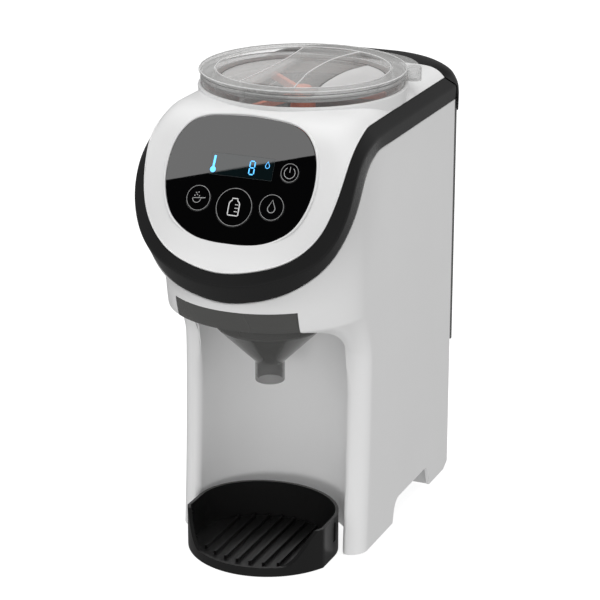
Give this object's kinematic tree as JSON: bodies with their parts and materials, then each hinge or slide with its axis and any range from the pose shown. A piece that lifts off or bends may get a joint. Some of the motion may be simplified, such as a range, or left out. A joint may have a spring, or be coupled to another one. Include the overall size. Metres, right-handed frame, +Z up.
{
  "type": "formula dispenser",
  "caption": "Counter-top infant formula dispenser: leaning key panel, open bottle bay over a drip tray, slide-out funnel, clear powder container with mixer, rear water tank.",
  "frame": {"origin": "middle of the overall box on the ground plane", "axes": "+Z up, front of the machine (bottle bay and key panel) at -Y, the machine's right-hand side seen from the front at +X"},
  "size_m": [0.1628, 0.2808, 0.345],
  "materials": {
    "white_shell": "satin white moulded plastic",
    "black_trim": "glossy black moulded plastic",
    "black_glass": "opaque black panel glass",
    "lcd": "dark display window",
    "key_caps": "glossy black key caps",
    "clear_plastic": "clear greyish moulded plastic",
    "smoked_plastic": "smoked translucent plastic",
    "mixer_plastic": "salmon moulded plastic",
    "tray_plastic": "satin black plastic",
    "grey_plastic": "plain grey inner plastic",
    "rubber": "matt black rubber",
    "steel": "plain steel",
    "board": "green circuit board",
    "acetal": "off-white acetal",
    "silicone": "translucent silicone"
  },
  "bodies": {
    "base": {"main_housing": "white_shell", "top_cover": "white_shell", "bay_wall": "white_shell", "rear_panel": "white_shell", "rear_foot": "white_shell", "trim_band": "black_trim", "control_panel": "black_glass", "panel_carrier": "tray_plastic", "lcd_display": "lcd", "control_board": "board", "outlet_seal": "silicone", "gear_motor": "steel", "gearbox_plate": "grey_plastic", "gear_spindle": "steel", "powder_bay": "grey_plastic", "powder_chute": "grey_plastic", "tank_bay": "grey_plastic", "tank_socket": "grey_plastic", "cord_gland": "rubber", "water_pump": "grey_plastic", "pump_motor": "steel", "water_heater": "steel", "suction_hose": "silicone", "feed_hose": "silicone", "outlet_hose": "silicone", "water_nozzle": "grey_plastic", "main_board": "board", "power_supply": "grey_plastic", "wire_harness": "rubber", "base_plate": "grey_plastic", "front_left_foot": "rubber", "front_right_foot": "rubber", "rear_left_pad": "rubber", "rear_right_pad": "rubber", "base_screw_1": "steel", "base_screw_2": "steel", "base_screw_3": "steel", "base_screw_4": "steel", "funnel_rail_left": "grey_plastic", "funnel_rail_right": "grey_plastic"},
    "container": {"powder_container": "clear_plastic"},
    "lid_ring": {"lid_seal": "silicone"},
    "lid": {"container_lid": "clear_plastic"},
    "mixer": {"dosing_wheel": "mixer_plastic", "stirrer": "mixer_plastic"},
    "drive": {"drive_gear": "acetal", "drive_shaft": "steel"},
    "pinion": {"motor_pinion": "steel"},
    "tank": {"water_tank": "smoked_plastic", "valve_cage": "acetal", "tank_seal": "rubber", "valve_spring": "steel"},
    "tank_cover": {"tank_lid": "black_trim"},
    "valve": {"tank_valve": "acetal"},
    "funnel": {"funnel": "smoked_plastic"},
    "tray": {"drip_tray": "tray_plastic"},
    "start": {"start_key": "key_caps"},
    "powder": {"powder_key": "key_caps"},
    "unit": {"unit_key": "key_caps"},
    "power": {"power_key": "key_caps"}
  },
  "joints": [
    {"name": "container_lift", "type": "slide", "parent": "base", "child": "container", "axis": [0, 0, 1], "range_m": [0, 0.09]},
    {"name": "lid_lift", "type": "slide", "parent": "container", "child": "lid_ring", "axis": [0, 0, 1], "range_m": [0, 0.04]},
    {"name": "lid_twist", "type": "hinge", "parent": "lid_ring", "child": "lid", "pos_m": [0, 0.0054, 0.3], "axis": [0, 0, 1], "range_deg": [0, 25]},
    {"name": "mixer_spin", "type": "hinge", "parent": "container", "child": "mixer", "pos_m": [0, 0.0054, 0.3], "axis": [0, 0, 1], "continuous": true},
    {"name": "drive_spin", "type": "hinge", "parent": "base", "child": "drive", "pos_m": [0, 0.0054, 0.3], "axis": [0, 0, 1], "continuous": true},
    {"name": "pinion_spin", "type": "hinge", "parent": "base", "child": "pinion", "pos_m": [0.0378, 0.0054, 0.243], "axis": [0, 0, 1], "continuous": true},
    {"name": "tank_lift", "type": "slide", "parent": "base", "child": "tank", "axis": [0, 0, 1], "range_m": [0, 0.12]},
    {"name": "tank_lid_lift", "type": "slide", "parent": "tank", "child": "tank_cover", "axis": [0, 0, 1], "range_m": [0, 0.05]},
    {"name": "valve_travel", "type": "slide", "parent": "tank", "child": "valve", "axis": [0, 0, 1], "range_m": [0, 0.003], "stiffness_N_per_m": 80, "springref_m": -0.004, "deforming": ["valve_spring"]},
    {"name": "funnel_slide", "type": "slide", "parent": "base", "child": "funnel", "axis": [0, -1, 0], "range_m": [0, 0.11]},
    {"name": "tray_slide", "type": "slide", "parent": "base", "child": "tray", "axis": [0, -1, 0], "range_m": [0, 0.09]},
    {"name": "start_press", "type": "slide", "parent": "base", "child": "start", "axis": [0, 0.891, -0.454], "range_m": [0, 0.0005], "stiffness_N_per_m": 400, "springref_m": -0.0005},
    {"name": "powder_press", "type": "slide", "parent": "base", "child": "powder", "axis": [0, 0.891, -0.454], "range_m": [0, 0.0005], "stiffness_N_per_m": 400, "springref_m": -0.0005},
    {"name": "unit_press", "type": "slide", "parent": "base", "child": "unit", "axis": [0, 0.891, -0.454], "range_m": [0, 0.0005], "stiffness_N_per_m": 400, "springref_m": -0.0005},
    {"name": "power_press", "type": "slide", "parent": "base", "child": "power", "axis": [0, 0.891, -0.454], "range_m": [0, 0.0005], "stiffness_N_per_m": 400, "springref_m": -0.0005}
  ],
  "couplings": [
    {"joint": "mixer_spin", "follows": "drive_spin", "ratio": 1},
    {"joint": "pinion_spin", "follows": "drive_spin", "ratio": -4}
  ]
}
